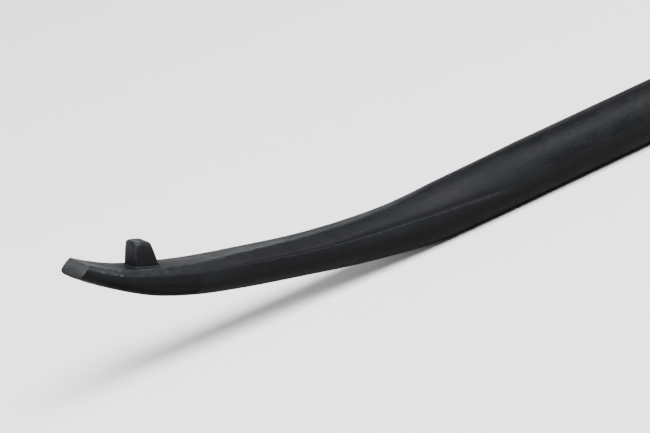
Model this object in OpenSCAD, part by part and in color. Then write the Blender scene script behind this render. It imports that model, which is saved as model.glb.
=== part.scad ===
// Long forged pry bar of the tyre-lever kind: one steel bar with two worked ends.
// The mounting end narrows to a lifted, flat-topped toe with a stop lug set into it.
// The far end spreads into a thin spade. +Z is up, +X runs from the toe to the spade,
// and the origin is on the ground under the middle of the bar.

/* [Bar] */
// Overall length, toe to spade nose
overall_l = 940; // [600:1:1200]
// Diameter of the round bar stock
bar_d = 19.05; // [16:0.05:25]

/* [Mounting end] */
// Length of the forged head, measured along its curve
head_l = 164.5; // [130:0.5:220]
// Thickness of the toe at its end face
toe_t = 5.3; // [3.5:0.1:7]
// Width of the toe at its parting line
toe_w = 14.6; // [11:0.1:18]
// Width of the flat top at the toe
toe_flat_w = 13.6; // [9:0.1:14.4]
// Angle by which the toe is lifted above the shank's line
toe_lift = 38.5; // [15:0.5:48]
// Angle by which the end face leans back from square
toe_lean = 19.5; // [0:0.5:28]
// Share of the thickness that lies below the parting line at the toe
parting_share = 0.74; // [0.55:0.01:0.8]

/* [Stop lug] */
// Distance of the lug's middle from the toe, along the head
lug_from_toe = 23.1; // [18:0.1:40]
// Length of the lug's foot, along the bar
lug_l = 8.6; // [7:0.1:12]
// Width of the lug's foot, across the bar
lug_w = 8.2; // [5:0.1:9.2]
// Height of the lug above the head
lug_h = 7.7; // [4:0.1:10]
// Length of the lug's flat crown
lug_crown_l = 5.3; // [3:0.1:6.5]
// Draft of the lug's front and side walls, in degrees
lug_draft = 1; // [0.5:0.5:5]
// Radius of the lug's upright corners
lug_corner_r = 0.6; // [0.3:0.1:1.2]
// Rounding of the edges round the lug's crown
lug_edge_r = 0.9; // [0.4:0.1:1.4]
// Diameter of the lug's spigot
spigot_d = 4; // [3:0.1:5]
// Length of the spigot below the seat
spigot_l = 3.4; // [2:0.1:3.6]

/* [Weld] */
// Width and height of the weld fillet round the lug's foot
weld_leg = 0.9; // [0.6:0.1:1.3]

/* [Far end] */
// Length of the spade, measured along its underside
spade_l = 150; // [110:1:190]
// Width of the spade at its widest
spade_w = 32; // [26:0.5:38]
// Thickness of the spade at its nose
spade_t = 3.4; // [2.6:0.1:6]
// Angle by which the nose is lifted
spade_lift = 24; // [8:1:35]
// Length over which the nose is rounded in plan
nose_l = 12; // [6:0.5:18]

/* [Hidden] */

bar_r = bar_d / 2;

// Rings along each worked end, and points on each quarter of a ring
head_steps = 56;
spade_steps = 44;
top_steps = 6;
low_steps = 9;

// The last ring of an end sits this far inside the shank, and is this much smaller than it
root_bite = 2;
root_scale = 0.98;
// Least half width of the flat top, where it has run out into the round shank
flat_runout = 0.3;

// Share of the toe's lift that is left, by share of the head's length from the toe
lift_stations = [[0, 1], [0.08, 0.8], [0.17, 0.57], [0.3, 0.37], [0.47, 0.305], [0.64, 0.19], [0.82, 0], [1, 0]];
// Share of the growth from toe thickness to bar diameter, by share of the head's length
thick_stations = [[0, 0], [0.08, 0.105], [0.17, 0.31], [0.3, 0.45], [0.47, 0.545], [0.64, 0.75], [0.82, 1], [1, 1]];
// Share of the spade's lift, and of its thinning, by share of its length from the shank
rise_stations = [[0, 0], [0.55, 0], [0.8, 0.45], [1, 1]];
thin_stations = [[0, 0], [0.12, 0.06], [0.4, 0.62], [0.7, 0.88], [1, 1]];

// Seat cut for the lug: its depth below the top face, and the running clearance of the spigot's bore
seat_sink = 0.5;
bore_clearance = 0.04;
bore_spare_depth = 0.4;
// Tall enough for the seat's cutter to clear the head
cutter_h = 8;
// How far the spigot and its bore run on into the solid above them
spigot_root = 1;
// Height of the thin slices between which the lug and the weld are stretched
slice_h = 0.01;
lug_sides = 32;
round_sides = 48;
shank_sides = 96;

// --- Smooth curve through a table of [place, value] rows, never overshooting a row ---
function slope(t, i) = (t[i + 1][1] - t[i][1]) / (t[i + 1][0] - t[i][0]);
function tangent(t, i) =
    i == 0 ? slope(t, 0) :
    i == len(t) - 1 ? 0 :
    let (a = slope(t, i - 1), b = slope(t, i)) a * b <= 0 ? 0 : 2 * a * b / (a + b);
function span_of(t, u, i = 0) = i >= len(t) - 2 || u <= t[i + 1][0] ? i : span_of(t, u, i + 1);
function through(t, u) =
    let (i = span_of(t, u), w = t[i + 1][0] - t[i][0], k = (u - t[i][0]) / w)
    (2 * k ^ 3 - 3 * k ^ 2 + 1) * t[i][1] + (k ^ 3 - 2 * k ^ 2 + k) * w * tangent(t, i)
    + (3 * k ^ 2 - 2 * k ^ 3) * t[i + 1][1] + (k ^ 3 - k ^ 2) * w * tangent(t, i + 1);
function blend(a, b, k) = a + (b - a) * k;

// --- Mounting end: sizes by share u of its length, from the toe (0) to the shank (1) ---
function head_lift(u) = toe_lift * through(lift_stations, u);
function head_t(u) = blend(toe_t, bar_d, through(thick_stations, u));
function head_half_w(u) = blend(toe_w, bar_d, sin(90 * u) ^ 1.5) / 2;
function head_half_flat(u) = max(flat_runout, toe_flat_w / 2 * cos(90 * u ^ 0.8) ^ 2);
function head_parting(u) = head_t(u) * (blend(0.5, parting_share, cos(90 * u ^ 1.3) ^ 2) - 0.5);
// Upper sides run from straight and drafted at the toe to round, lower sides from square to round
function head_upper_power(u) = 2 - u ^ 2;
function head_lower_power(u) = blend(0.45, 1, min(1, 1.6 * u));
function head_lean(u) = toe_lean * max(0, 1 - u * 11) ^ 1.5;

// Middle line of the head, walked from the shank back to the toe; [x, z] with the shank's end at 0
head_pitch = head_l / head_steps;
head_line = [for (i = 0, x = 0, z = 0; i <= head_steps;
    a = head_lift(1 - (i + 0.5) / head_steps), x = x - head_pitch * cos(a), z = z + head_pitch * sin(a),
    i = i + 1) [x, z]];
function head_point(u) =
    let (k = (1 - u) * head_steps, i = min(floor(k), head_steps - 1))
    blend(head_line[i], head_line[i + 1], k - i);

// Half of a section, from the edge of its flat top to the middle of its underside, as [across, up]
function side_points(half_w, half_flat, top, parting, bottom, up_power, low_power) = concat(
    [for (i = [0:top_steps]) let (a = 90 - 90 * i / top_steps)
        [half_flat + (half_w - half_flat) * cos(a) ^ up_power, parting + (top - parting) * sin(a) ^ up_power]],
    [for (i = [1:low_steps]) let (a = 90 * i / low_steps)
        [half_w * cos(a) ^ low_power, parting + (bottom - parting) * sin(a) ^ low_power]]);
// Both halves of a section, starting at the middle of its underside
function mirrored(side) = concat([for (i = [len(side) - 1:-1:0]) [-side[i][0], side[i][1]]],
    [for (i = [0:len(side) - 2]) side[i]]);
// A section stood up across the bar at [x, z], turned by an angle about the cross axis
function placed(ring, at, turn) = [for (p = ring) [at[0] + p[1] * sin(turn), p[0], at[1] + p[1] * cos(turn)]];

function head_ring(u) =
    let (turn = head_lift(u) + head_lean(u), half_t = head_t(u) / 2 / cos(head_lean(u)))
    placed(mirrored(side_points(head_half_w(u), head_half_flat(u), half_t, head_parting(u), -half_t,
        head_upper_power(u), head_lower_power(u))), head_point(u), turn);

// --- Far end: sizes by share u of its length, from the shank (0) to the nose (1) ---
function spade_lift_at(u) = spade_lift * through(rise_stations, u);
function spade_t_at(u) = blend(bar_d, spade_t, through(thin_stations, u));
function nose_round(u) = let (k = max(0, 1 - (1 - u) * spade_l / nose_l)) sqrt(1 - 0.7 * k ^ 2);
function spade_half_w(u) = blend(bar_d, spade_w, sin(90 * min(1, 1.25 * u)) ^ 2) / 2 * nose_round(u);
function spade_half_flat(u) = max(flat_runout, 0.55 * spade_half_w(u) * sin(90 * u) ^ 1.5);
function spade_power(u) = blend(1, 0.62, min(1, 1.5 * u));
spade_pitch = spade_l / spade_steps;
spade_line = [for (i = 0, x = 0, z = 0; i <= spade_steps;
    a = spade_lift_at((i + 0.5) / spade_steps), x = x + spade_pitch * cos(a), z = z + spade_pitch * sin(a),
    i = i + 1) [x, z]];
function spade_ring(i) =
    let (u = i / spade_steps, t = spade_t_at(u))
    placed(mirrored(side_points(spade_half_w(u), spade_half_flat(u), t, t / 2, 0, spade_power(u),
        spade_power(u))), spade_line[i], -spade_lift_at(u));

// Ring where an end enters the shank
root_ring = [for (p = mirrored(side_points(bar_r, flat_runout, bar_r, 0, -bar_r, 1, 1))) p * root_scale];

// --- Places along the bar, with the ground at z = 0 and the bar's middle at x = 0 ---
head_reach = -min([for (p = head_ring(0)) p[0]]);
spade_reach = max([for (p = spade_ring(spade_steps)) p[0]]);
shank_l = overall_l - head_reach - spade_reach;
shank_x = head_reach - overall_l / 2;

// --- Seat of the lug: a plane cut just under the chord of the hollow top face ---
seat_l = lug_l + 2 * weld_leg;
seat_w = lug_w + 2 * weld_leg;
function head_top(s) =
    let (u = s / head_l, a = head_lift(u), p = head_point(u), h = head_t(u) / 2)
    [p[0] + h * sin(a), p[1] + h * cos(a)];
seat_a = head_top(lug_from_toe - seat_l / 2);
seat_b = head_top(lug_from_toe + seat_l / 2);
seat_turn = atan2(seat_a[1] - seat_b[1], seat_b[0] - seat_a[0]);
seat_mid = (seat_a + seat_b) / 2;
lug_full_h = lug_h + seat_sink;

module at_head() translate([shank_x, 0, bar_r]) children();

module at_seat() at_head()
    translate([seat_mid[0], 0, seat_mid[1]])
    rotate([0, seat_turn, 0])
    translate([0, 0, -seat_sink]) children();

// Solid through a list of rings, each with the same number of points
module lofted(rings) {
    n = len(rings[0]);
    last = len(rings) - 1;
    polyhedron(
        points = [for (r = rings) each r],
        faces = concat(
            [[for (j = [n - 1:-1:0]) j]],
            [for (i = [0:last - 1], j = [0:n - 1]) let (k = (j + 1) % n)
                each [[i * n + k, (i + 1) * n + j, i * n + j], [i * n + k, (i + 1) * n + k, (i + 1) * n + j]]],
            [[for (j = [0:n - 1]) last * n + j]]));
}

module mounting_end() at_head()
    lofted(concat([for (i = [0:head_steps - 1]) head_ring(i / head_steps)],
        [for (x = [-root_bite / 2, root_bite]) placed(root_ring, [x, 0], 0)]));

module spade_end() translate([shank_x + shank_l, 0, 0])
    lofted(concat([for (x = [-root_bite, root_bite / 2]) placed(root_ring, [x, bar_r], 0)],
        [for (i = [1:spade_steps]) spade_ring(i)]));

module shank() at_head() rotate([0, 90, 0]) cylinder(d = bar_d, h = shank_l, $fn = shank_sides);

module bar() color("#26282b") difference() {
    union() {
        shank();
        mounting_end();
        spade_end();
    }
    at_seat() translate([-seat_l / 2, -seat_w / 2, 0]) cube([seat_l, seat_w, cutter_h]);
    at_seat() translate([0, 0, -spigot_l - bore_spare_depth])
        cylinder(d = spigot_d + 2 * bore_clearance, h = spigot_l + bore_spare_depth + spigot_root,
            $fn = round_sides);
}

// Rounded rectangle from [x0, x1] and width w, one thin slice of the lug at height z
module lug_slice(x0, x1, w, r, z) translate([0, 0, z]) linear_extrude(slice_h)
    hull() for (x = [x0 + r, x1 - r], y = [-w / 2 + r, w / 2 - r]) translate([x, y]) circle(r, $fn = lug_sides);

// The lug's walls lean in by the draft; the rear wall slopes further, down to the crown's length
module lug_block() {
    lean = lug_full_h * tan(lug_draft);
    crown_x = -lug_l / 2 + lean;
    top_w = lug_w - 2 * lean;
    hull() {
        lug_slice(-lug_l / 2, lug_l / 2, lug_w, lug_corner_r, 0);
        lug_slice(crown_x, crown_x + lug_crown_l, top_w, lug_corner_r, lug_full_h - lug_edge_r);
        lug_slice(crown_x + lug_edge_r / 2, crown_x + lug_crown_l - lug_edge_r / 2, top_w - lug_edge_r,
            lug_corner_r, lug_full_h - slice_h);
    }
}

module stop_lug() color("#2c2e31") at_seat() union() {
    lug_block();
    translate([0, 0, -spigot_l]) cylinder(d = spigot_d, h = spigot_l + spigot_root, $fn = round_sides);
}

module lug_weld() color("#35373a") at_seat() difference() {
    hull() {
        translate([-seat_l / 2, -seat_w / 2, 0]) cube([seat_l, seat_w, seat_sink]);
        lug_slice(-lug_l / 2, lug_l / 2, lug_w, lug_corner_r, seat_sink + weld_leg);
    }
    lug_block();
}

bar();
stop_lug();
lug_weld();
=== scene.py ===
import math

import bmesh
import bpy
import numpy as np
from mathutils import Matrix, Vector, noise


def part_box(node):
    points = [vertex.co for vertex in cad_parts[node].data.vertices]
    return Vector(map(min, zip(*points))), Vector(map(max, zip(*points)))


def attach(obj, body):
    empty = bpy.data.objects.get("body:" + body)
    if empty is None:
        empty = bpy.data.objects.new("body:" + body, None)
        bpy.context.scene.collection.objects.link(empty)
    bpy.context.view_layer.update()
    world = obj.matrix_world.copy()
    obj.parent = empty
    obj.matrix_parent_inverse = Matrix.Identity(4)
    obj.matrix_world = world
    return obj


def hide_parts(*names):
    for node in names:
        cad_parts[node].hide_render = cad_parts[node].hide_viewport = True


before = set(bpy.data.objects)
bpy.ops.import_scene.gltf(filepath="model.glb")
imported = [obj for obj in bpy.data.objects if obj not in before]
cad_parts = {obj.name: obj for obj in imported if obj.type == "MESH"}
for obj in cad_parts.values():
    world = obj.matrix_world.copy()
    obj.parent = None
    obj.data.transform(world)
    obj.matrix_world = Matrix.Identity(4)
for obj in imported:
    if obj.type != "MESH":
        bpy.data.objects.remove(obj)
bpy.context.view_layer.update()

# --- Viewpoint --------------------------------------------------------------------------------
# A long lens looks at the mounting end from in front of the bar and a little above it, held
# slightly tilted, so that the shank climbs out of the picture on the right.
bar_low, bar_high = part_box("bar")
shank_radius = 0.009525
view_azimuth, view_elevation, view_tilt = -24.77, 19.01, 16.32
view_distance, view_lens = 1.0332, 182.77
aim = Vector((bar_low.x + 0.0871, 0, shank_radius + 0.01427))

turn, rise = math.radians(view_azimuth), math.radians(view_elevation)
towards = Vector((-math.sin(turn) * math.cos(rise), math.cos(turn) * math.cos(rise), -math.sin(rise)))
level_right = towards.cross(Vector((0, 0, 1))).normalized()
level_up = level_right.cross(towards)
tilt = math.radians(view_tilt)
camera_up = level_up * math.cos(tilt) + level_right * math.sin(tilt)
camera_right = towards.cross(camera_up)

camera = bpy.data.objects.new("camera", bpy.data.cameras.new("camera"))
bpy.context.scene.collection.objects.link(camera)
camera.data.lens = view_lens
camera.data.sensor_width = 36
camera.data.clip_end = 50
facing = Matrix((camera_right, camera_up, -towards)).transposed().to_4x4()
camera.matrix_world = Matrix.Translation(aim - towards * view_distance) @ facing
bpy.context.scene.camera = camera

# --- The bar ----------------------------------------------------------------------------------
# One drop forging in medium-carbon steel, drawn out of round stock and finished satin black. The
# mounting end has a flat top, drafted sides and a trimmed flash line where the dies met; the far
# end is spread into a thin spade.

# sizes are in millimetres and degrees until the mesh is made
mm = 0.001
stock_r = shank_radius / mm
head_length, toe_thick, toe_width, toe_top_width = 164.5, 5.3, 14.6, 13.6
toe_lift, toe_lean, toe_parting = 38.5, 19.5, 0.74
toe_round = 0.3
# shares of the lift that is left, and of the thickening that is done, by share of the head's length
lift_rows = [[0, 1], [0.08, 0.8], [0.17, 0.57], [0.3, 0.37], [0.47, 0.305], [0.64, 0.19], [0.82, 0], [1, 0]]
thick_rows = [[0, 0], [0.08, 0.105], [0.17, 0.31], [0.3, 0.45],
              [0.47, 0.545], [0.64, 0.75], [0.82, 1], [1, 1]]
# the relieved area low on the toe's side: where it starts and ends, its upper edge and its depth
relief_start, relief_end, relief_top, relief_depth, relief_corner = 6, 39.5, -0.6, 0.4, 2
spade_length, spade_width, spade_thick, spade_lift, nose_length = 150.0, 32.0, 3.4, 24.0, 12.0
nose_round, nose_gap = 0.9, 0.3
flash_proud = 0.22
rise_rows = [[0, 0], [0.55, 0], [0.8, 0.45], [1, 1]]
thin_rows = [[0, 0], [0.12, 0.06], [0.4, 0.62], [0.7, 0.88], [1, 1]]


def through(rows, u):
    """A smooth curve through [place, value] rows that never overshoots a row."""
    x, y = np.array(rows, float).T
    slope = np.diff(y) / np.diff(x)
    tangent = np.zeros(len(x))
    tangent[0] = slope[0]
    for i in range(1, len(x) - 1):
        a, b = slope[i - 1], slope[i]
        tangent[i] = 0 if a * b <= 0 else 2 * a * b / (a + b)
    i = np.clip(np.searchsorted(x, u) - 1, 0, len(x) - 2)
    width = x[i + 1] - x[i]
    k = (u - x[i]) / width
    return ((2 * k**3 - 3 * k**2 + 1) * y[i] + (k**3 - 2 * k**2 + k) * width * tangent[i]
            + (3 * k**2 - 2 * k**3) * y[i + 1] + (k**3 - k**2) * width * tangent[i + 1])


def ease(k):
    k = np.clip(k, 0, 1)
    return k * k * (3 - 2 * k)


def sine(degrees):
    return np.sin(np.radians(degrees))


def cosine(degrees):
    return np.cos(np.radians(degrees))


# points on half a section, and the finer steps that it is worked out in
half_count, flat_steps, arc_steps, fine_steps = 60, 24, 70, 300


def half_section(size, place):
    """Points from the middle of the top round one side to the middle of the underside, as [across, up],
    with each point's outward direction, its wear with painted highlight, its painted shade, and how much
    lighter its top is, partly rubbed bare and partly painted light."""
    steps = np.linspace(90, 0, arc_steps)
    flat = np.stack([np.linspace(0, size["flat"], flat_steps), np.full(flat_steps, size["top"])], 1)[:-1]
    upper = np.stack([size["flat"] + (size["wide"] - size["flat"]) * cosine(steps) ** size["up"],
                      size["parting"] + (size["top"] - size["parting"]) * sine(steps) ** size["up"]], 1)
    steps = steps[::-1][1:]
    lower = np.stack([size["wide"] * cosine(steps) ** size["low"],
                      size["parting"] + (size["bottom"] - size["parting"]) * sine(steps) ** size["low"]], 1)
    line = np.concatenate([flat, upper, lower])
    along = np.concatenate([[0], np.cumsum(np.hypot(*np.diff(line, axis=0).T))])
    even = np.linspace(0, along[-1], fine_steps)
    line = np.stack([np.interp(even, along, line[:, 0]), np.interp(even, along, line[:, 1])], 1)
    # round the corners a little, by averaging along the outline
    reach = max(2, round(size["round"] / (even[1] - even[0])))
    mirror = np.array([-1, 1])
    padded = np.concatenate([line[reach:0:-1] * mirror, line, line[-2:-reach - 2:-1] * mirror])
    kernel = np.hanning(2 * reach + 3)[1:-1]
    kernel /= kernel.sum()
    line = np.stack([np.convolve(padded[:, c], kernel, "valid") for c in (0, 1)], 1)
    line[0, 0] = line[-1, 0] = 0
    tangent = np.gradient(line, axis=0)
    tangent /= np.hypot(*tangent.T)[:, None]
    out = np.stack([-tangent[:, 1], tangent[:, 0]], 1)
    side = ease((out[:, 0] - 0.2) / 0.4)
    flash = np.exp(-((line[:, 1] - size["flash"]) / size["flash_tall"]) ** 2) * side
    # the relieved side of the toe, below a line that ends in a rounded corner
    over = (np.maximum(place - relief_end + relief_corner, 0),
            np.maximum(line[:, 1] - relief_top + relief_corner, 0))
    inside = ease((relief_corner - np.hypot(*over)) / 0.35) * ease((line[:, 1] - size["bottom"] - 0.3) / 2.5)
    relief = inside * ease((place - relief_start) / 4) * side
    # a shallow groove runs just above the flash
    groove_up = (line[:, 1] - size["flash"]) / size["flash_tall"] - 1.5
    groove = np.exp(-groove_up ** 2) * side * size["flash_out"] * 0.45
    moved = line + out * (size["flash_out"] * flash - groove - size["relief_in"] * relief)[:, None]
    past_flat = even - size["flat"]
    corner = np.exp(-(past_flat / 0.55) ** 2) * size["corner"]
    # points crowd together on the flash, on the flat's edge and on the relief's upper edge
    step = np.exp(-((line[:, 1] - relief_top) / 0.5) ** 2) * side * (size["relief_in"] > 0)
    crowd = 1 + 3.5 * flash * (size["flash_out"] > 0) + 2.5 * corner + 2.5 * step
    share = np.concatenate([[0], np.cumsum((crowd[1:] + crowd[:-1]) / 2)])
    pick = np.interp(np.linspace(0, share[-1], half_count), share, even)

    def take(values):
        return np.interp(pick, even, values)

    points = np.stack([take(moved[:, 0]), take(moved[:, 1])], 1)
    outward = np.stack([take(out[:, 0]), take(out[:, 1])], 1)
    points[0, 0] = points[-1, 0] = 0
    # edges are worn and carry painted highlights, with a broad painted highlight along the toe's shoulder;
    # the relief's brink and the groove get painted shade; the flat top is coloured lighter, partly rubbed
    # bare and partly painted light
    shoulder_highlight_band = np.exp(-((past_flat - 1.4) / 1.3) ** 2) * size["shoulder_highlight"]
    edge_wear_and_highlight = np.maximum(np.maximum(corner, shoulder_highlight_band), 0.3 * flash * ease(size["flash_out"] / 0.3))
    # painted shade along the relief's brink and in the groove above the flash
    brink = 4 * relief * (1 - relief)
    shade = np.maximum(brink * ease(size["relief_in"] / 0.1), groove / 0.25)
    bare_and_painted_light = ease((size["lighter_reach_past_flat"] - past_flat) / (0.35 + 0.6 * size["lighter_reach_past_flat"])) * size["bare_and_painted_light"]
    bare_and_painted_light = np.maximum(bare_and_painted_light, np.exp(-((past_flat - 0.9) / 0.9) ** 2) * size["tip_wear_and_highlight"])
    return points, outward, take(edge_wear_and_highlight), take(shade), take(bare_and_painted_light)


def ring(size, place, at, turn, inset=0.0, back=0.0, skin=1.0):
    """A closed section stood across the bar, one row for each point: x, y, z, wear with painted highlight,
    outward x, y, z, how uneven the skin is there, painted shade, place along the head, and lighter top
    (partly rubbed bare, partly painted light)."""
    points, outward, wear_and_highlight_value, shade, bare_and_painted_light = half_section(size, place)
    points = points - outward * inset
    mirror = np.array([-1, 1])
    loop = np.concatenate([points[::-1] * mirror, points[1:]])[:-1]
    way = np.concatenate([outward[::-1] * mirror, outward[1:]])[:-1]
    wear_and_highlight = np.concatenate([wear_and_highlight_value[::-1], wear_and_highlight_value[1:]])[:-1]
    painted_shade = np.concatenate([shade[::-1], shade[1:]])[:-1]
    bright = np.concatenate([bare_and_painted_light[::-1], bare_and_painted_light[1:]])[:-1]
    up = np.array([math.sin(turn), math.cos(turn)])
    ahead = np.array([math.cos(turn), -math.sin(turn)])
    x = at[0] + loop[:, 1] * up[0] + back * ahead[0]
    z = at[1] + loop[:, 1] * up[1] + back * ahead[1]
    return np.stack([x, loop[:, 0], z, wear_and_highlight, way[:, 1] * up[0], way[:, 0], way[:, 1] * up[1],
                     np.full(len(x), skin), painted_shade, np.full(len(x), place), bright], 1)


head_count = 236
head_u = np.linspace(0, 1, head_count)
pitch = head_length / (head_count - 1)
middle_lift = np.radians(toe_lift * through(lift_rows, (head_u[1:] + head_u[:-1]) / 2))
head_x = -np.concatenate([np.cumsum((pitch * np.cos(middle_lift))[::-1])[::-1], [0]])
head_z = np.concatenate([np.cumsum((pitch * np.sin(middle_lift))[::-1])[::-1], [0]])


def head_size(u):
    place = u * head_length
    lean = toe_lean * max(0, 1 - 11 * u) ** 1.5
    half = (toe_thick + (2 * stock_r - toe_thick) * through(thick_rows, u)) / 2
    parting = 2 * half * (toe_parting - 0.5) * cosine(90 * u**1.3) ** 2
    fade = ease((0.95 - u) / 0.1)
    return {
        "flat": max(0.3, toe_top_width / 2 * cosine(90 * u**0.8) ** 2),
        "wide": (toe_width + (2 * stock_r - toe_width) * sine(90 * u) ** 1.5) / 2,
        "top": half / cosine(lean), "bottom": -half / cosine(lean), "parting": parting,
        "up": 2 - u**2, "low": 0.45 + 0.55 * min(1, 1.6 * u),
        "round": 0.3 + 0.6 * ease(u * 1.1),
        "flash": 1.4 + 1.3 * ease(place / 40) - 3.2 * max(0, (place - 112) / 38) ** 1.5,
        "flash_tall": 0.28 + 0.35 * ease((place - 80) / 25),
        "flash_out": (0.1 + 0.12 * ease((place - 40) / 30) + 0.3 * ease((place - 80) / 20)) * fade,
        "relief_in": relief_depth if place < relief_end + 1.5 else 0.0,
        "lean": lean,
        "corner": ease((0.85 - u) / 0.4),
        # painted highlights along the toe's shoulder and its tip edge; the flat top is coloured lighter,
        # partly rubbed bare and partly painted light
        "shoulder_highlight": 0.45 * ease((46 - place) / 20), "tip_wear_and_highlight": 0.9 * ease((17 - place) / 9),
        "bare_and_painted_light": ease((place - 15) / 40) * ease((0.98 - u) / 0.3),
        "lighter_reach_past_flat": 0.15 + 0.6 * math.exp(-((place - 38) / 13) ** 2) + 1.3 * ease((place - 60) / 50),
    }


rings = []
toe = head_size(0)
toe_turn = math.radians(toe_lift + toe_lean)
for degrees in (90, 60, 30):
    if degrees == 90:
        rings.append(ring(toe, 0, (head_x[0], head_z[0]), toe_turn, toe_round + 0.25, 0, 0.3))
    rings.append(ring(toe, 0, (head_x[0], head_z[0]), toe_turn, toe_round * (1 - cosine(degrees)),
                      toe_round * (1 - sine(degrees)), 0.3))
for i in range(1, head_count):
    size = head_size(head_u[i])
    turn_here = math.radians(toe_lift * through(lift_rows, head_u[i]) + size["lean"])
    rings.append(ring(size, head_u[i] * head_length, (head_x[i], head_z[i]), turn_here))

round_size = dict(head_size(1), low=1.0)
head_reach = -min(r[:, 0].min() for r in rings)

spade_count = 130
spade_u = np.linspace(0, 1, spade_count)
pitch = spade_length / (spade_count - 1)
middle_rise = np.radians(spade_lift * through(rise_rows, (spade_u[1:] + spade_u[:-1]) / 2))
spade_x = np.concatenate([[0], np.cumsum(pitch * np.cos(middle_rise))])
spade_z = np.concatenate([[0], np.cumsum(pitch * np.sin(middle_rise))]) - stock_r


def spade_size(u):
    thick = 2 * stock_r + (spade_thick - 2 * stock_r) * through(thin_rows, u)
    nose = max(0, 1 - (1 - u) * spade_length / nose_length)
    spread = stock_r + (spade_width / 2 - flash_proud - stock_r) * sine(90 * min(1, 1.25 * u)) ** 2
    wide = spread * math.sqrt(1 - 0.7 * nose**2)
    power = 1 - 0.38 * min(1, 1.5 * u)
    return dict(round_size, **{
        "flat": max(0.3, 0.55 * wide * sine(90 * u) ** 1.5), "wide": wide, "top": thick, "bottom": 0,
        "parting": thick / 2, "up": power, "low": power, "round": 2.1 - 1.6 * ease(u * 1.3),
        "flash": thick / 2, "flash_tall": 0.4,
        "flash_out": flash_proud * ease((u - 0.1) / 0.1) * ease((0.95 - u) / 0.1),
        "corner": 0.0, "shoulder_highlight": 0.0, "tip_wear_and_highlight": 0.0, "bare_and_painted_light": 0.0, "lighter_reach_past_flat": 0.0,
    })


# the shank fills what is left of the length
shank_count = 128
shank_end = (bar_high.x - bar_low.x) / mm - head_reach - spade_x[-1] - nose_gap
for x in np.linspace(0, shank_end, shank_count)[1:-1]:
    rings.append(ring(round_size, 0, (x, 0), 0))
for i in range(spade_count - 1):
    turn_here = -math.radians(spade_lift * through(rise_rows, spade_u[i]))
    rings.append(ring(spade_size(spade_u[i]), 0, (shank_end + spade_x[i], spade_z[i]), turn_here))
nose = spade_size(1)
nose_at = (shank_end + spade_x[-1], spade_z[-1])
nose_turn = -math.radians(spade_lift)
for degrees in (30, 60, 90):
    rings.append(ring(nose, 0, nose_at, nose_turn, nose_round * (1 - cosine(degrees)),
                      nose_round * (sine(degrees) - 1), 0.5))
rings.append(ring(nose, 0, nose_at, nose_turn, nose_round + 0.3, 0, 0.5))

# the loft is a grid closed into a tube, with a face over each end
bm = bmesh.new()
around = len(rings[0])
bmesh.ops.create_grid(bm, x_segments=len(rings) - 1, y_segments=around, size=1)
looks = ("wear_and_highlight", "painted_shade", "ground", "scuff", "bare_and_painted_light", "under")
layers = {name: bm.verts.layers.float.new(name) for name in looks}
toe_rings = 4
table = np.stack(rings)
for v in bm.verts:
    i = round((v.co.x + 1) / 2 * (len(rings) - 1))
    j = round((v.co.y + 1) / 2 * around) % around
    x, y, z, wear_and_highlight_value, out_x, out_y, out_z, skin, shade, place, bare_and_painted_light = table[i, j]
    spot = Vector((x, y, z))
    # hammer scale and die wear leave the faces slightly uneven
    uneven = 0.05 * noise.noise(spot * 0.11) + 0.03 * noise.noise(spot * 0.37) - 0.035
    v.co = (spot + Vector((out_x, out_y, out_z)) * uneven * skin) * mm
    v[layers["wear_and_highlight"]] = wear_and_highlight_value
    v[layers["painted_shade"]] = shade
    v[layers["bare_and_painted_light"]] = bare_and_painted_light
    # painted shade: undersides are coloured darker, and so is more of the side along the toe's relieved
    # length
    on_toe = ease((relief_end + 1.2 - place) / 1.6) * (place > 0)
    v[layers["under"]] = ease((0.1 + 0.2 * on_toe - out_z) / 0.5)
    v[layers["ground"]] = 1.0 if i < toe_rings else 0.0
    near_side = out_y < -0.3 and out_z > 0.05
    v[layers["scuff"]] = math.exp(-((place - 9) / 5) ** 2) * near_side
bmesh.ops.remove_doubles(bm, verts=[v for v in bm.verts if v.is_boundary], dist=1e-6)
bmesh.ops.holes_fill(bm, edges=[e for e in bm.edges if e.is_boundary], sides=0)
bmesh.ops.recalc_face_normals(bm, faces=bm.faces)
for face in bm.faces:
    face.smooth = True
bmesh.ops.translate(bm, verts=bm.verts, vec=(bar_low.x + head_reach * mm, 0, shank_radius))


def keep(name, bm):
    """Turns a bmesh into an object that stands at the origin."""
    mesh = bpy.data.meshes.new(name)
    bm.to_mesh(mesh)
    bm.free()
    thing = bpy.data.objects.new(name, mesh)
    bpy.context.scene.collection.objects.link(thing)
    return thing


forged_bar = keep("forged_bar", bm)


class Wiring:
    """Adds nodes to one node tree: each call makes a node, sets it up and plugs in its inputs."""

    def __init__(self, tree):
        self.tree = tree

    def __call__(self, kind, inputs=None, **settings):
        made = self.tree.nodes.new("ShaderNode" + kind)
        for key, value in settings.items():
            setattr(made, key, value)
        for key, value in (inputs or {}).items():
            if isinstance(value, bpy.types.NodeSocket):
                self.tree.links.new(value, made.inputs[key])
            else:
                made.inputs[key].default_value = value
        return made

    def noise(self, where, scale, detail=3, roughness=0.55):
        made = self("TexNoise", {"Vector": where, "Scale": scale, "Detail": detail, "Roughness": roughness})
        return made.outputs["Fac"]

    def remap(self, value, low, high, to_low=0.0, to_high=1.0):
        made = self("MapRange", {"Value": value, "From Min": low, "From Max": high,
                                 "To Min": to_low, "To Max": to_high}, interpolation_type="SMOOTHSTEP")
        return made.outputs["Result"]

    def calc(self, kind, first, second):
        return self("Math", {0: first, 1: second}, operation=kind).outputs[0]

    def mix(self, share, first, second):
        made = self("Mix", {0: share, 6: first, 7: second}, data_type="RGBA")
        return made.outputs[2]


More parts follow.
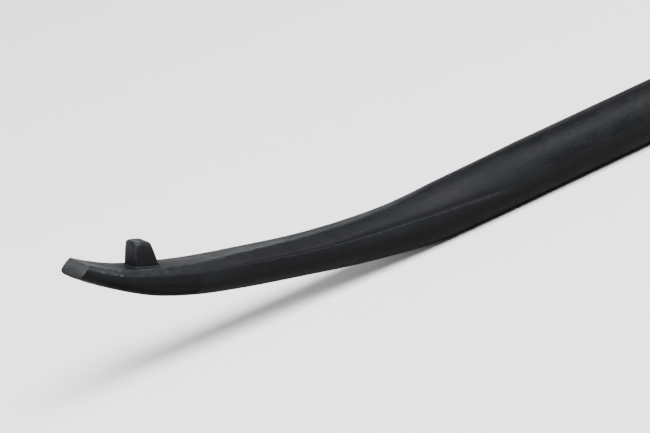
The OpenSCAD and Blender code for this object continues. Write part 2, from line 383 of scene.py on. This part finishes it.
def new_group(name, takes, gives):
    """A node group with the inputs and outputs that are asked for, and what is needed to wire it."""
    tree = bpy.data.node_groups.new(name, "ShaderNodeTree")
    for socket, kind in takes:
        tree.interface.new_socket(socket, in_out="INPUT", socket_type=kind)
    for socket, kind in gives:
        tree.interface.new_socket(socket, in_out="OUTPUT", socket_type=kind)
    wire = Wiring(tree)
    return tree, wire, tree.nodes.new("NodeGroupInput"), tree.nodes.new("NodeGroupOutput")


# satin black over forging scale: blotches, fine grain, small pits, drawn scratches, worn edges that also
# carry painted highlights, and painted shade where its mask is given
black_finish_and_painted_light, wire, given, made = new_group(
    "black_finish_and_painted_light",
    [("Where", "NodeSocketVector"), ("Wear_And_Highlight", "NodeSocketFloat"), ("Painted_Shade", "NodeSocketFloat")],
    [("Color", "NodeSocketColor"), ("Roughness", "NodeSocketFloat"), ("Height", "NodeSocketFloat")])
where = given.outputs["Where"]
along = wire("Mapping", {"Vector": where, "Scale": (0.4, 1, 1)}).outputs[0]
blotch = wire.remap(wire.noise(along, 80, 5, 0.55), 0.34, 0.68)
cloud = wire.remap(wire.noise(along, 360, 4, 0.6), 0.35, 0.68)
grain = wire.noise(where, 1900, 2, 0.6)
pits = wire.remap(wire.noise(where, 760, 2, 0.4), 0.29, 0.38, 1.0, 0.0)
stretched = wire("Mapping", {"Vector": where, "Scale": (55, 1500, 1500)}).outputs[0]
drawn = wire.remap(wire.noise(stretched, 1, 3, 0.6), 0.66, 0.76)
tone = wire.mix(blotch, (0.0025, 0.0026, 0.003, 1), (0.0039, 0.0042, 0.0048, 1))
tone = wire.mix(wire.calc("MULTIPLY", cloud, 0.42), tone, (0.0056, 0.006, 0.0071, 1))
tone = wire.mix(wire.calc("MULTIPLY", wire.remap(grain, 0.55, 0.75), 0.35), tone, (0.009, 0.0094, 0.0105, 1))
tone = wire.mix(wire.calc("MULTIPLY", drawn, 0.2), tone, (0.034, 0.035, 0.037, 1))
# rubbed edges lighten the colour, and the same mask also carries painted highlights
rubbed_and_highlit = wire.calc("MULTIPLY", given.outputs["Wear_And_Highlight"], wire.remap(wire.noise(where, 420, 4, 0.7), 0.3, 0.72))
tone = wire.mix(wire.calc("MULTIPLY", rubbed_and_highlit, 0.4), tone, (0.034, 0.036, 0.039, 1))
# painted shade: this mask darkens the colour, and below it also makes the surface rougher
tone = wire.mix(wire.calc("MULTIPLY", given.outputs["Painted_Shade"], 0.75), tone, (0.0018, 0.0019, 0.002, 1))
rough = wire.calc("ADD", wire.remap(blotch, 0, 1, 0.45, 0.55), wire.calc("MULTIPLY", cloud, 0.09))
rough = wire.calc("SUBTRACT", rough, wire.calc("MULTIPLY", rubbed_and_highlit, 0.1))
rough = wire.calc("ADD", rough, wire.calc("MULTIPLY", given.outputs["Painted_Shade"], 0.2))
height = wire.calc("ADD", wire.calc("MULTIPLY", cloud, 0.55), wire.calc("MULTIPLY", grain, 0.3))
height = wire.calc("SUBTRACT", height, wire.calc("MULTIPLY", pits, 0.6))
wire.tree.links.new(tone, made.inputs["Color"])
wire.tree.links.new(rough, made.inputs["Roughness"])
wire.tree.links.new(height, made.inputs["Height"])


def black_steel_material(name, wear_and_highlight, painted_shade, extra=None):
    """A steel material in the black finish, with its painted highlights and painted shade; extra may change
    its colour and roughness.
    """
    material = bpy.data.materials.new(name)
    material.use_nodes = True
    wire = Wiring(material.node_tree)
    shader = material.node_tree.nodes["Principled BSDF"]
    where = wire("TexCoord").outputs["Object"]
    coat_and_painted_light = wire("Group", node_tree=black_finish_and_painted_light)
    wire.tree.links.new(where, coat_and_painted_light.inputs["Where"])
    for key, value in (("Wear_And_Highlight", wear_and_highlight), ("Painted_Shade", painted_shade)):
        if isinstance(value, str):
            value = wire("Attribute", attribute_name=value).outputs["Fac"]
            wire.tree.links.new(value, coat_and_painted_light.inputs[key])
        else:
            coat_and_painted_light.inputs[key].default_value = value
    color, rough = coat_and_painted_light.outputs["Color"], coat_and_painted_light.outputs["Roughness"]
    if extra:
        color, rough = extra(wire, where, color, rough)
    bump = wire("Bump", {"Height": coat_and_painted_light.outputs["Height"], "Strength": 0.5, "Distance": 0.00016})
    wire.tree.links.new(color, shader.inputs["Base Color"])
    wire.tree.links.new(rough, shader.inputs["Roughness"])
    wire.tree.links.new(bump.outputs["Normal"], shader.inputs["Normal"])
    shader.inputs["Specular IOR Level"].default_value = 0.045
    return material


def ends_scuffs_and_painted_light(wire, where, color, rough):
    """The toe's ground end face, the flat top coloured lighter (partly rubbed bare, partly painted light),
    painted shade on the undersides, and scuffs at the tip.
    """
    ground = wire("Attribute", attribute_name="ground").outputs["Fac"]
    across = wire("Mapping", {"Vector": where, "Scale": (900, 260, 900)}).outputs[0]
    lines = wire.noise(across, 1, 3, 0.6)
    steel = wire.mix(lines, (0.006, 0.0062, 0.0065, 1), (0.042, 0.0435, 0.045, 1))
    color = wire.mix(wire.calc("MULTIPLY", ground, 0.9), color, steel)
    # painted light: the flat top and the tip's edge are coloured lighter, partly as steel rubbed bare
    bare_and_painted_light = wire("Attribute", attribute_name="bare_and_painted_light").outputs["Fac"]
    patchy = wire.remap(wire.noise(where, 150, 4, 0.6), 0.3, 0.7, 0.55, 1.0)
    color = wire.mix(wire.calc("MULTIPLY", bare_and_painted_light, patchy), color, (0.0158, 0.0167, 0.0184, 1))
    # painted shade: the undersides are coloured darker
    under = wire("Attribute", attribute_name="under").outputs["Fac"]
    color = wire.mix(wire.calc("MULTIPLY", under, 0.65), color, (0.0014, 0.0014, 0.0015, 1))
    rough = wire.calc("ADD", rough, wire.calc("MULTIPLY", under, 0.1))
    scuff = wire("Attribute", attribute_name="scuff").outputs["Fac"]
    drawn_out = wire("Mapping", {"Vector": where, "Scale": (420, 900, 900)}).outputs[0]
    flecks = wire.remap(wire.noise(drawn_out, 1, 5, 0.7), 0.5, 0.64)
    patch = wire.remap(wire.noise(where, 260, 2, 0.5), 0.42, 0.55)
    shown = wire.calc("MULTIPLY", scuff, wire.calc("MULTIPLY", flecks, patch))
    return wire.mix(shown, color, (0.05, 0.0525, 0.055, 1)), rough


forged_bar.data.materials.append(black_steel_material("bar_black_steel", "wear_and_highlight", "painted_shade", ends_scuffs_and_painted_light))
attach(forged_bar, "root")
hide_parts("bar")

# --- The stop lug -----------------------------------------------------------------------------
# A small drafted steel block that stands on the hollow side of the head, behind the toe, and
# catches the rim. Its foot and its spigot are sunk into the head, and its top edges are rounded.
lug_place = 23.1
lug_long, lug_wide, lug_tall, lug_crown = 8.6, 8.2, 8.2, 5.3
lug_draft, lug_corner, lug_brim = 1.0, 0.8, 0.9
spigot_radius, spigot_long = 2, 3.4
fillet_leg = 0.9
seat_sunk = 0.5
# the seat is level between the two places where the weld ends, ahead of the lug and behind it
ends = []
for share in ((lug_place - lug_long / 2 - fillet_leg) / head_length,
              (lug_place + lug_long / 2 + fillet_leg) / head_length):
    angle = math.radians(toe_lift * through(lift_rows, share))
    half = (toe_thick + (2 * stock_r - toe_thick) * through(thick_rows, share)) / 2
    ends.append((np.interp(share, head_u, head_x) + half * math.sin(angle),
                 np.interp(share, head_u, head_z) + half * math.cos(angle)))
seat_turn = math.atan2(ends[0][1] - ends[1][1], ends[1][0] - ends[0][0])
middle = Vector(((ends[0][0] + ends[1][0]) / 2, 0, (ends[0][1] + ends[1][1]) / 2)) * mm
seat = (Matrix.Translation(middle + Vector((bar_low.x + head_reach * mm, 0, shank_radius)))
        @ Matrix.Rotation(seat_turn, 4, "Y") @ Matrix.Translation((0, 0, -seat_sunk * mm)))

# the block is a stack of rounded outlines, drawn in round its top edge and closed at both ends
lug_around = 96
wall_top = lug_tall - lug_brim
outlines = [(0, 0)] + [(height, 0) for height in np.linspace(seat_sunk, wall_top, 12)]
outlines += [(wall_top + lug_brim * sine(k), lug_brim * (1 - cosine(k))) for k in np.linspace(9, 90, 10)]
outlines.append((lug_tall, lug_brim + 0.3))
bm = bmesh.new()
bmesh.ops.create_grid(bm, x_segments=lug_around, y_segments=len(outlines) - 1, size=1)
layers = {name: bm.verts.layers.float.new(name) for name in ("wear_and_highlight", "painted_shade")}
for v in bm.verts:
    i = round((v.co.x + 1) / 2 * lug_around) % lug_around
    height, inset = outlines[round((v.co.y + 1) / 2 * (len(outlines) - 1))]
    draft = height * math.tan(math.radians(lug_draft))
    front = -lug_long / 2 + draft + inset
    back = lug_long / 2 - (lug_long - draft - lug_crown) * height / lug_tall - inset
    side = lug_wide / 2 - draft - inset
    corner = lug_corner + 0.5 * ease((height - wall_top + 2) / 2) - 0.45 * inset
    angle = 2 * math.pi * (i + 0.5) / lug_around
    across = (back - front) / 2 - corner
    v.co = Vector(((front + back) / 2 + math.copysign(across, math.cos(angle)) + corner * math.cos(angle),
                   math.copysign(side - corner, math.sin(angle)) + corner * math.sin(angle), height))
    # the front wall and the crown's edge are coloured lighter, as rubbed and as painted highlight; the side
    # walls and the foot get painted shade
    on_corner = 1 - abs(math.cos(2 * angle)) ** 3
    rubbed_and_highlit_face = 0.7 * ease(-1.6 * math.cos(angle) - 0.2) + 0.5 * ease((height - wall_top + 3) / 3)
    crown_edge = ease((height - wall_top + 0.3) / 0.6) * (inset < lug_brim)
    v[layers["wear_and_highlight"]] = 0.05 + 0.45 * rubbed_and_highlit_face + 0.5 * crown_edge + 0.1 * on_corner
    side_wall = (abs(math.sin(angle)) > 0.75) * ease((lug_tall - height) / 4)
    v[layers["painted_shade"]] = 0.6 * side_wall + 0.15 * ease((1.8 - height) / 1.2)
bmesh.ops.remove_doubles(bm, verts=[v for v in bm.verts if v.is_boundary], dist=1e-5)
bmesh.ops.holes_fill(bm, edges=[e for e in bm.edges if e.is_boundary], sides=0)
# the spigot below the seat
spigot = bmesh.ops.create_cone(bm, cap_ends=True, segments=48, radius1=spigot_radius,
                               radius2=spigot_radius, depth=spigot_long)
bmesh.ops.translate(bm, verts=spigot["verts"], vec=(0, 0, -spigot_long / 2))
bmesh.ops.recalc_face_normals(bm, faces=bm.faces)
bmesh.ops.scale(bm, verts=bm.verts, vec=(mm, mm, mm))
bmesh.ops.transform(bm, matrix=seat, verts=bm.verts)
for face in bm.faces:
    face.smooth = True
stop_lug = keep("stop_lug_block", bm)
stop_lug.data.materials.append(black_steel_material("lug_black_steel", "wear_and_highlight", "painted_shade"))
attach(stop_lug, "root")
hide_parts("stop_lug")

# --- The weld at the lug's foot ---------------------------------------------------------------
# A small hollow fillet of weld metal that runs right round the lug's foot, dressed smooth and
# blacked with the rest.
fillet_around, fillet_steps = 96, 10
wall_bite, seat_bite, middle_sag, seat_half = 0.2, 0.04, 0.13, 5.2
bm = bmesh.new()
bmesh.ops.create_grid(bm, x_segments=fillet_around, y_segments=fillet_steps, size=1)
inner_x, inner_y = lug_long / 2 - lug_corner, lug_wide / 2 - lug_corner
for v in bm.verts:
    i = round((v.co.x + 1) / 2 * fillet_around) % fillet_around
    j = (v.co.y + 1) / 2
    angle = 2 * math.pi * (i + 0.5) / fillet_around
    # out from the lug's wall along a hollow quarter round, starting inside the wall
    bend = math.radians(90 * j)
    out = fillet_leg * (1 - math.cos(bend)) - wall_bite * (1 - j)
    up = fillet_leg * (1 - math.sin(bend))
    way = Vector((math.cos(angle), math.sin(angle)))
    base = Vector((math.copysign(inner_x, way.x) if abs(way.x) > 0.02 else 0,
                   math.copysign(inner_y, way.y) if abs(way.y) > 0.02 else 0))
    spot = base + way * (lug_corner + out)
    # the head is hollow along its length, so the fillet sinks a little towards the middle
    sag = middle_sag * (1 - (spot.x / seat_half) ** 2)
    wobble = 1 + 0.12 * noise.noise(Vector((spot.x, spot.y, 0)) * 0.9)
    v.co = Vector((spot.x, spot.y, seat_sunk - sag - seat_bite + up * wobble)) * mm
bmesh.ops.remove_doubles(bm, verts=[v for v in bm.verts if v.is_boundary], dist=1e-6)
# close it underneath, down to the seat
rims = [e for e in bm.edges if e.is_boundary]
sunk = bmesh.ops.extrude_edge_only(bm, edges=rims)
for v in (g for g in sunk["geom"] if isinstance(g, bmesh.types.BMVert)):
    v.co.z = 0
bmesh.ops.bridge_loops(bm, edges=[e for e in bm.edges if e.is_boundary])
bmesh.ops.recalc_face_normals(bm, faces=bm.faces)
bmesh.ops.transform(bm, matrix=seat, verts=bm.verts)
for face in bm.faces:
    face.smooth = True
weld = keep("lug_weld_fillet", bm)
# the weld is coloured part way to the rubbed tone, painted light in the hollow at the lug's foot
weld.data.materials.append(black_steel_material("weld_black_steel", 0.4, 0.0))
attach(weld, "root")
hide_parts("lug_weld")

# --- Floor and lights -------------------------------------------------------------------------
# A wide pale floor, a large soft light above and in front, a smaller one beyond the toe, and a low
# one behind that skims the top of the bar.
bm = bmesh.new()
bmesh.ops.create_grid(bm, x_segments=1, y_segments=1, size=12)
floor = keep("floor", bm)
paper = bpy.data.materials.new("pale_floor")
paper.use_nodes = True
paper.node_tree.nodes["Principled BSDF"].inputs["Base Color"].default_value = (0.54, 0.54, 0.54, 1)
paper.node_tree.nodes["Principled BSDF"].inputs["Roughness"].default_value = 0.9
floor.data.materials.append(paper)

world = bpy.data.worlds.new("studio")
world.use_nodes = True
world.node_tree.nodes["Background"].inputs["Color"].default_value = (1, 1, 1, 1)
world.node_tree.nodes["Background"].inputs["Strength"].default_value = 0.2
bpy.context.scene.world = world


def softbox(name, offset, size, power):
    """An area light that faces the head of the bar from the given offset."""
    lamp = bpy.data.lights.new(name, "AREA")
    lamp.shape = "RECTANGLE"
    lamp.size, lamp.size_y = size
    lamp.energy = power
    holder = bpy.data.objects.new(name, lamp)
    bpy.context.scene.collection.objects.link(holder)
    offset = Vector(offset)
    facing = (-offset).to_track_quat("-Z", "Y").to_matrix().to_4x4()
    holder.matrix_world = Matrix.Translation(aim + offset) @ facing


softbox("front_top", (0.2, -1.0, 1.8), (2.4, 1.3), 290)
softbox("left", (-1.8, -0.1, 0.55), (1.0, 0.6), 72)
softbox("back_low", (1.1, 2.1, 0.42), (1.8, 0.5), 9)
